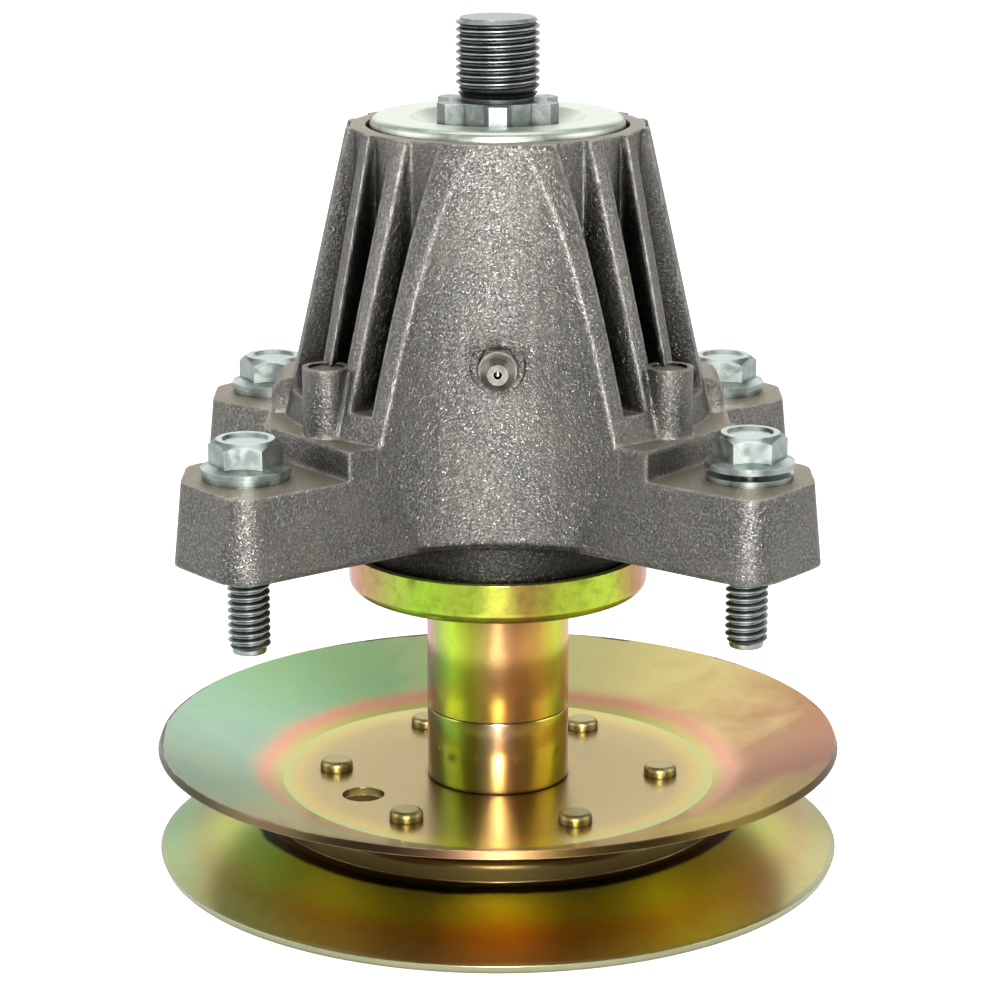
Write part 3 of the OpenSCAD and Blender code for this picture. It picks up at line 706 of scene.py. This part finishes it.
@dataclass
class ScrewThread:
    """A rolled right-hand thread on a chamfered stub, along +Z."""

    crest_r: float
    pitch: float
    bottom: float
    top: float
    depth_share: float = 0.6
    chamfer: float = 0.9 * MM
    chamfer_bottom: float = 0.9 * MM
    steps: int = 56
    crest_share: float = 0.16
    root_share: float = 0.2

    def build(self, name: str) -> bpy.types.Object:
        """Sweep the thread's profile and trim it to the stub.

        Args:
            name: The piece's name.

        Returns:
            The threaded stub.
        """
        turns = int((self.top - self.bottom) / self.pitch) + 4
        low = self.bottom - 2 * self.pitch
        root = self.crest_r - self.pitch * self.depth_share
        flank = (1 - self.crest_share - self.root_share) / 2
        rise = [(root, 0.0), (root, self.root_share), (self.crest_r, self.root_share + flank),
                (self.crest_r, self.root_share + flank + self.crest_share), (root, 1.0)]
        bpy.ops.mesh.primitive_plane_add(size=self.pitch, location=(0, 0, low))
        sweep = bpy.context.object
        sweep.name = name
        Bench.hold(sweep)
        bpy.ops.object.mode_set(mode="EDIT")
        bpy.ops.mesh.select_all(action="SELECT")
        bpy.ops.mesh.delete(type="ONLY_FACE")
        bpy.ops.object.mode_set(mode="OBJECT")
        mesh = sweep.data
        mesh.clear_geometry()
        mesh.from_pydata([(r, 0, share * self.pitch) for r, share in rise],
                         [(i, i + 1) for i in range(len(rise) - 1)], [])
        screw = sweep.modifiers.new("helix", "SCREW")
        screw.axis, screw.angle, screw.screw_offset = "Z", 2 * math.pi, self.pitch
        screw.iterations, screw.steps, screw.render_steps = turns, self.steps, self.steps
        screw.use_merge_vertices, screw.merge_threshold = True, 1e-6
        bpy.ops.object.modifier_apply(modifier="helix")
        bpy.ops.object.transform_apply(location=True, rotation=True, scale=True)
        Bench.merge(sweep, 2e-6)
        Bench.cut(sweep, self.bottom - self.pitch / 2, Axis.ABOVE)
        Bench.cut(sweep, self.top + self.pitch / 2, Axis.BELOW)
        Bench.merge(sweep, 2e-6)
        return self._trim(sweep)

    def _trim(self, sweep: bpy.types.Object) -> bpy.types.Object:
        """Cut the swept thread to a cylinder with chamfered ends."""
        height = self.top - self.bottom
        bpy.ops.mesh.primitive_cylinder_add(vertices=96, radius=self.crest_r * 1.0005, depth=height,
                                            location=(0, 0, self.bottom + height / 2))
        stub = bpy.context.object
        for end, size in ((1, self.chamfer), (-1, self.chamfer_bottom)):
            if size <= 0:
                continue
            Bench.hold(stub)
            for face in stub.data.polygons:
                face.select = face.normal.z * end > 0.9
            for edge in stub.data.edges:
                edge.select = False
            for point in stub.data.vertices:
                point.select = False
            for face in stub.data.polygons:
                face.select = face.normal.z * end > 0.9
            bpy.ops.object.mode_set(mode="EDIT")
            bpy.ops.mesh.select_mode(type="FACE")
            bpy.ops.mesh.bevel(offset=size, offset_type="OFFSET", segments=1)
            bpy.ops.object.mode_set(mode="OBJECT")
        Bench.hold(sweep)
        trim = sweep.modifiers.new("trim", "BOOLEAN")
        trim.operation, trim.object, trim.solver = "INTERSECT", stub, "EXACT"
        bpy.ops.object.modifier_apply(modifier="trim")
        bpy.data.objects.remove(stub)
        Bench.merge(sweep, 1e-6)
        Bench.smooth(sweep, 26)
        return sweep


@dataclass
class BladeShaft:
    """The splined shaft with its blade thread."""

    thread: ScrewThread = field(default_factory=lambda: ScrewThread(
        crest_r=7.9375 * MM, pitch=25.4 / 18 * MM, bottom=151.4 * MM, top=165.2 * MM,
        chamfer=0.9 * MM, chamfer_bottom=1.0 * MM))
    neck_top: float = 151.0 * MM

    def build(self, material: bpy.types.Material) -> bpy.types.Object:
        """Replace the plain end of the shaft by a threaded one.

        Args:
            material: The finish.

        Returns:
            The shaft.
        """
        shaft = Bench.copy_of("spindle_shaft", "threaded_shaft")
        Bench.cut(shaft, self.neck_top, Axis.BELOW)
        Bench.smooth(shaft, 30)
        stub = self.thread.build("blade_thread")
        whole = Bench.join([shaft, stub], "threaded_shaft")
        Bench.dress(whole, material)
        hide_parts("spindle_shaft")
        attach(whole, "spindle")
        return whole


@dataclass
class DeckBolts:
    """The four flanged self-tapping bolts with rolled threads."""

    gap_x: float = 92.4 * MM
    gap_y: float = 73.0 * MM
    seat: float = 86.0 * MM
    length: float = 34.6 * MM
    loose: float = 1.2 * MM
    cut_at: float = 73.0 * MM
    thread_r: float = 3.97 * MM
    pitch: float = 25.4 / 18 * MM
    dog_r: float = 3.2 * MM
    dog_h: float = 1.4 * MM

    def _shank(self) -> bpy.types.Object:
        """Make one threaded shank with its dog point, seated at height 0."""
        tip = self.seat - self.length
        thread = ScrewThread(crest_r=self.thread_r, pitch=self.pitch, bottom=tip + self.dog_h * 0.7,
                             top=self.cut_at + 1 * MM, chamfer=0.0, chamfer_bottom=0.75 * MM, steps=40)
        shank = thread.build("bolt_thread")
        bpy.ops.mesh.primitive_cylinder_add(vertices=40, radius=self.dog_r, depth=3 * MM,
                                            location=(0, 0, tip + 1.5 * MM))
        dog = bpy.context.object
        Bench.hold(dog)
        for point in dog.data.vertices:
            point.select = False
        for edge in dog.data.edges:
            edge.select = False
        for face in dog.data.polygons:
            face.select = face.normal.z < -0.9
        bpy.ops.object.mode_set(mode="EDIT")
        bpy.ops.mesh.select_mode(type="FACE")
        bpy.ops.mesh.bevel(offset=0.35 * MM, offset_type="OFFSET", segments=2)
        bpy.ops.object.mode_set(mode="OBJECT")
        bpy.ops.object.transform_apply(location=True, rotation=True, scale=True)
        Bench.smooth(dog, 30)
        return Bench.join([shank, dog], "bolt_thread")

    def build(self, material: bpy.types.Material) -> bpy.types.Object:
        """Replace the plain shanks by threaded ones.

        Args:
            material: The finish.

        Returns:
            The bolts, as one piece.
        """
        heads = Bench.copy_of("mounting_bolts", "threaded_bolts")
        Bench.cut(heads, self.cut_at, Axis.ABOVE)
        Bench.smooth(heads, 30)
        first = self._shank()
        pieces = [heads]
        for x in (-1, 1):
            for y in (-1, 1):
                shank = first.copy()
                shank.data = first.data.copy()
                bpy.context.scene.collection.objects.link(shank)
                lift = self.loose if (x, y) == (1, -1) else 0.0
                Bench.place(shank, (x * self.gap_x / 2, y * self.gap_y / 2, lift))
                pieces.append(shank)
        bpy.data.objects.remove(first)
        whole = Bench.join(pieces, "threaded_bolts")
        Bench.dress(whole, material)
        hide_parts("mounting_bolts")
        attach(whole, "housing")
        return whole


@dataclass
class EasedTube:
    """A turned tube whose two end circles are chamfered a little."""

    node: str
    name: str
    radius: float = 14.0 * MM
    ease: float = 0.35 * MM

    def build(self, material: bpy.types.Material) -> bpy.types.Object:
        """Replace the sharp-edged tube.

        Args:
            material: The finish.

        Returns:
            The tube.
        """
        tube = Bench.copy_of(self.node, self.name)
        Bench.hold(tube)
        mesh = tube.data
        outer = [math.hypot(p.co.x, p.co.y) > self.radius - 0.05 * MM for p in mesh.vertices]
        for group in (mesh.vertices, mesh.edges, mesh.polygons):
            for item in group:
                item.select = False
        for edge in mesh.edges:
            a, b = edge.vertices
            edge.select = outer[a] and outer[b] and abs(mesh.vertices[a].co.z - mesh.vertices[b].co.z) < 0.01 * MM
        bpy.ops.object.mode_set(mode="EDIT")
        bpy.ops.mesh.select_mode(type="EDGE")
        bpy.ops.mesh.bevel(offset=self.ease, offset_type="OFFSET", segments=2)
        bpy.ops.object.mode_set(mode="OBJECT")
        Bench.smooth(tube, 30)
        Bench.dress(tube, material)
        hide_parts(self.node)
        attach(tube, "spindle")
        return tube


@dataclass
class Studio:
    """The pale floor, the soft lights, the white surroundings and the camera."""

    camera_at: tuple[float, float, float] = (0.00041, -0.6008, 0.2288)
    camera_tilt: float = 75.29
    lens: float = 114.2
    floor_size: float = 14.0
    aim: tuple[float, float, float] = (0.0, 0.0, 0.085)

    def build(self) -> None:
        """Set up everything round the object."""
        bpy.context.scene.view_settings.view_transform = "Standard"
        self._camera()
        self._floor()
        self._world()
        for name, spot, size, power in (
                ("front", (0.01, -0.78, 0.34), (0.08, 0.4), 11.0),
                ("left", (-0.75, -0.1, 0.4), (0.5, 0.7), 3.0),
                ("right", (0.75, -0.1, 0.4), (0.5, 0.7), 2.8),
                ("top", (0.0, 0.1, 0.9), (0.7, 0.6), 2.6),
                ("rear", (0.0, 0.8, 0.5), (0.9, 0.5), 2.0)):
            self._lamp(name, spot, size, power)

    def _camera(self) -> None:
        """Place the camera where the photograph was taken from."""
        data = bpy.data.cameras.new("camera")
        data.sensor_width, data.lens = 36.0, self.lens
        data.clip_start, data.clip_end = 0.01, 50.0
        camera = bpy.data.objects.new("camera", data)
        camera.location = self.camera_at
        camera.rotation_euler = (math.radians(self.camera_tilt), 0.0, 0.0)
        bpy.context.scene.collection.objects.link(camera)
        bpy.context.scene.camera = camera

    def _floor(self) -> None:
        """Lay the plain floor, which keeps the object's shadow."""
        bpy.ops.object.select_all(action="DESELECT")
        bpy.ops.mesh.primitive_plane_add(size=self.floor_size, location=(0, 0, -0.0004))
        floor = bpy.context.object
        floor.name = "floor"
        made = bpy.data.materials.new("floor")
        made.use_nodes = True
        g = Graph(made.node_tree)
        matt = g.add("BsdfDiffuse")
        matt.inputs["Color"].default_value = (0.55, 0.55, 0.55, 1)
        glow = g.add("Emission")
        glow.inputs["Color"].default_value = (1, 1, 1, 1)
        path = g.add("LightPath")
        g.feed(glow.inputs["Strength"], g.math("MULTIPLY", path.outputs["Is Camera Ray"], 0.9))
        both = g.add("AddShader")
        g.feed(both.inputs[0], matt.outputs[0])
        g.feed(both.inputs[1], glow.outputs[0])
        spot = g.add("SeparateXYZ")
        g.feed(spot.inputs[0], g.add("TexCoord").outputs["Object"])
        mirrored = g.add("Emission")
        mirrored.inputs["Color"].default_value = (1, 1, 1, 1)
        behind = g.span(spot.outputs[1], -0.34, -0.04, 0.62, 1.0)
        strip = g.span(g.math("ABSOLUTE", spot.outputs[0]), 0.055, 0.012, 0.0, 1.9)
        ahead = g.math("MULTIPLY", strip, g.span(spot.outputs[1], -0.04, -0.16))
        g.feed(mirrored.inputs["Strength"], g.math("ADD", behind, ahead))
        choice = g.add("MixShader")
        g.feed(choice.inputs[0], path.outputs["Is Glossy Ray"])
        g.feed(choice.inputs[1], both.outputs[0])
        g.feed(choice.inputs[2], mirrored.outputs[0])
        g.feed(g.add("OutputMaterial").inputs["Surface"], choice.outputs[0])
        Bench.dress(floor, made)

    def _world(self) -> None:
        """Make the surroundings: white where they are seen, graded in reflections."""
        world = bpy.data.worlds.new("studio")
        bpy.context.scene.world = world
        world.use_nodes = True
        g = Graph(world.node_tree)
        path = g.add("LightPath")
        way = g.add("SeparateXYZ")
        g.feed(way.inputs[0], g.add("TexCoord").outputs["Generated"])
        high = g.ramp(g.span(way.outputs[2], -0.2, 1.0),
                      ((0.0, "f0f0f0"), (0.35, "ffffff"), (0.7, "b9bbbe"), (1.0, "d0d0d0")))
        front = g.span(way.outputs[1], 0.3, -0.75)
        shade = g.mix(g.math("MULTIPLY", front, 0.97), high, paint("4a4a50"))
        plain = g.add("Background")
        g.feed(plain.inputs["Color"], shade)
        plain.inputs["Strength"].default_value = 0.62
        white = g.add("Background")
        white.inputs["Color"].default_value = (1, 1, 1, 1)
        white.inputs["Strength"].default_value = 1.0
        choice = g.add("MixShader")
        g.feed(choice.inputs[0], path.outputs["Is Camera Ray"])
        g.feed(choice.inputs[1], plain.outputs[0])
        g.feed(choice.inputs[2], white.outputs[0])
        g.feed(g.add("OutputWorld").inputs["Surface"], choice.outputs[0])

    def _lamp(self, name: str, spot: tuple[float, float, float], size: tuple[float, float],
              power: float) -> None:
        """Hang one soft lamp that points at the object.

        Args:
            name: Its name.
            spot: Its place.
            size: Its width and height.
            power: Its power in watts.
        """
        data = bpy.data.lights.new(name, "AREA")
        data.shape, data.size, data.size_y, data.energy = "RECTANGLE", size[0], size[1], power
        lamp = bpy.data.objects.new(name, data)
        lamp.location = spot
        lamp.rotation_euler = (Vector(self.aim) - Vector(spot)).to_track_quat("-Z", "Y").to_euler()
        bpy.context.scene.collection.objects.link(lamp)


@dataclass
class Wardrobe:
    """The finishes, and the nodes that each of them goes on."""

    effects: SharedEffects
    worn: dict[str, tuple[str, ...]] = field(default_factory=dict)

    def finishes(self) -> dict[str, tuple[Finish, tuple[str, ...]]]:
        """List each finish with its CAD nodes.

        Returns:
            Each finish's name with the finish and the nodes.
        """
        return {
            "cast": (CastAluminium(), ("housing",)),
            "zinc": (PlatedSteel(), ("bolt_washers", "pulley_nut", "bearing_spacer")),
            "shaft": (PlatedSteel(title="shaft_steel", low="7f8885", high="a6aca8", stain="5f615c", stain_share=0.3,
                                  edge="dfe4e0", rough=(0.42, 0.56), painted_dark="0c0b0a", reach_mm=2.2, open=0.92,
                                  shut=0.6), ("spindle_shaft",)),
            "shield": (PlatedSteel(title="shield_zinc", low="b0b8ac", high="c2c9bc", stain="a4ada2", edge="e6ebe2",
                                   edge_share=0.4, rough=(0.36, 0.44)), ("blade_side_shield",)),
            "fitting": (PlatedSteel(title="grease_fitting_steel", low="605e57", high="87857b", stain="4f4c42", rough=(0.36, 0.48)),
                        ("grease_fitting_body",)),
            "bearing": (PlatedSteel(title="bearing_steel", low="b4b4b6", high="d6d6d8", stain_share=0.08,
                                    rough=(0.08, 0.14), scratch_mm=0.004),
                        ("grease_fitting_ball", "blade_bearing_outer_race", "blade_bearing_inner_race",
                         "blade_bearing_balls", "pulley_bearing_outer_race", "pulley_bearing_inner_race",
                         "pulley_bearing_balls")),
            "brass": (PlatedSteel(title="brass_cage", low="a8843c", high="c9a659", stain="6b5426"),
                      ("blade_bearing_cage", "pulley_bearing_cage")),
            "rubber": (SealRubber(), ("blade_bearing_seals", "pulley_bearing_seals")),
            "upper": (YellowChromate(
                title="upper_disc_chromate",
                around=((0.0, "7f9a84"), (0.07, "93a884"), (0.15, "b8a878"), (0.22, "946c50"), (0.3, "a8843c"),
                        (0.38, "c8b42c"), (0.46, "985f3c"), (0.54, "94683c"), (0.64, "d3c480"), (0.74, "c4c086"),
                        (0.84, "8aae79"), (0.93, "84a888"), (1.0, "7f9a84")),
                outward=((0.0, "94814c"), (0.5, "a08c55"), (0.66, "b59c50"), (0.74, "a6a860"), (0.82, "b4a460"),
                         (0.9, "c88c70"), (1.0, "c09a70")),
                from_mm=20.0, to_mm=53.0, keep=(0.9, 1.0), drift=0.16, stain_share=0.05, rough=(0.3, 0.34),
                # The upper disc's outer rim is painted dark brown to damp the lamp's highlight there: painted
                # shade.
                rim="3c2c20"),
                ("pulley_upper_disc",)),
            "lower": (YellowChromate(
                title="lower_disc_chromate",
                around=((0.0, "38d488"), (0.05, "6cc878"), (0.1, "b4bc58"), (0.16, "9ca83c"), (0.22, "94943c"),
                        (0.28, "948c3c"), (0.34, "c0d060"), (0.41, "e4f09c"), (0.48, "b8d078"), (0.62, "c8b870"),
                        (0.8, "b0c070"), (1.0, "38d488")),
                # The near-black stops at 0.17 and 0.23 (about 44.7 to 46.3 mm out) paint the groove wall under the
                # upper disc's flare dark: painted shade.
                outward=((0.0, "5a4c28"), (0.15, "4c4024"), (0.17, "1c1a10"), (0.23, "261f12"), (0.265, "b0c050"),
                         (0.58, "b8b03c"), (0.85, "b87c44"), (1.0, "b88c70")),
                from_mm=40.0, to_mm=67.5, keep=(0.205, 1.75), drift=0.1, stain_share=0.1, rough=(0.3, 0.34),
                rim="a9ad8c"),
                ("pulley_lower_disc",)),
            "rivets": (YellowChromate(
                title="rivet_chromate", around=((0.0, "9c9060"), (0.3, "8c8252"), (0.6, "a39868"), (1.0, "9c9060")),
                drift=1.2, rough=(0.36, 0.46)), ("pulley_rivets",)),
            "cup": (YellowChromate(
                title="cup_chromate",
                around=((0.0, "e08fb0"), (0.05, "d89078"), (0.1, "b8a860"), (0.17, "a8d83c"), (0.22, "b0c840"),
                        (0.27, "a88840"), (0.32, "b4c83c"), (0.39, "c0d844"), (0.44, "c08850"), (0.5, "d07078"),
                        (0.7, "c9b050"), (1.0, "e08fb0")), drift=0.12, stain_share=0.3, metal=0.85),
                ("dust_cup",)),
            "tube": (YellowChromate(
                title="sleeve_chromate",
                around=((0.0, "a0707c"), (0.05, "e0a0a8"), (0.09, "b4c070"), (0.14, "ccf048"), (0.19, "bcc03c"),
                        (0.24, "d8b070"), (0.29, "c88c54"), (0.34, "d0a04c"), (0.4, "d4dc48"), (0.45, "e0b868"),
                        (0.5, "e098a8"), (0.75, "d0b860"), (1.0, "a0707c")), drift=0.05, stain_share=0.1,
                metal=0.86, rough=(0.2, 0.24)),
                ("spacer_sleeve",)),
            "hub": (YellowChromate(
                title="hub_chromate",
                around=((0.0, "a0707c"), (0.05, "b08870"), (0.09, "8c9850"), (0.14, "90ac34"), (0.19, "90882c"),
                        (0.24, "dcc09c"), (0.29, "c08c50"), (0.34, "c0a03c"), (0.4, "c8c02c"), (0.45, "c8a050"),
                        (0.5, "c08c90"), (0.75, "d0b860"), (1.0, "a0707c")), drift=0.05, stain_share=0.15,
                metal=0.9, rough=(0.18, 0.22)), ("pulley_hub",)),
        }

    def dress_all(self) -> dict[str, bpy.types.Material]:
        """Make every finish and put it on its nodes.

        Returns:
            The materials by name.
        """
        made = {}
        for key, (finish, nodes) in self.finishes().items():
            made[key] = finish.material(self.effects)
            for node in nodes:
                Bench.dress(bpy.data.objects[node], made[key])
            LOG.info("finish %s on %s", key, ", ".join(nodes))
        return made


def main() -> None:
    """Build the pieces, the finishes and the studio."""
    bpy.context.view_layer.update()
    materials = Wardrobe(SharedEffects()).dress_all()
    shaft = BladeShaft().build(materials["shaft"])
    LOG.info("%s has %d faces", shaft.name, len(shaft.data.polygons))
    bolts = DeckBolts().build(materials["zinc"])
    LOG.info("%s have %d faces", bolts.name, len(bolts.data.polygons))
    for node, name, finish in (("spacer_sleeve", "eased_sleeve", "tube"), ("pulley_hub", "eased_hub", "hub")):
        tube = EasedTube(node, name).build(materials[finish])
        LOG.info("%s has %d faces", tube.name, len(tube.data.polygons))
    Studio().build()


if __name__ == "__main__":
    logging.basicConfig(level=logging.INFO, format="%(message)s")
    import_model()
    main()
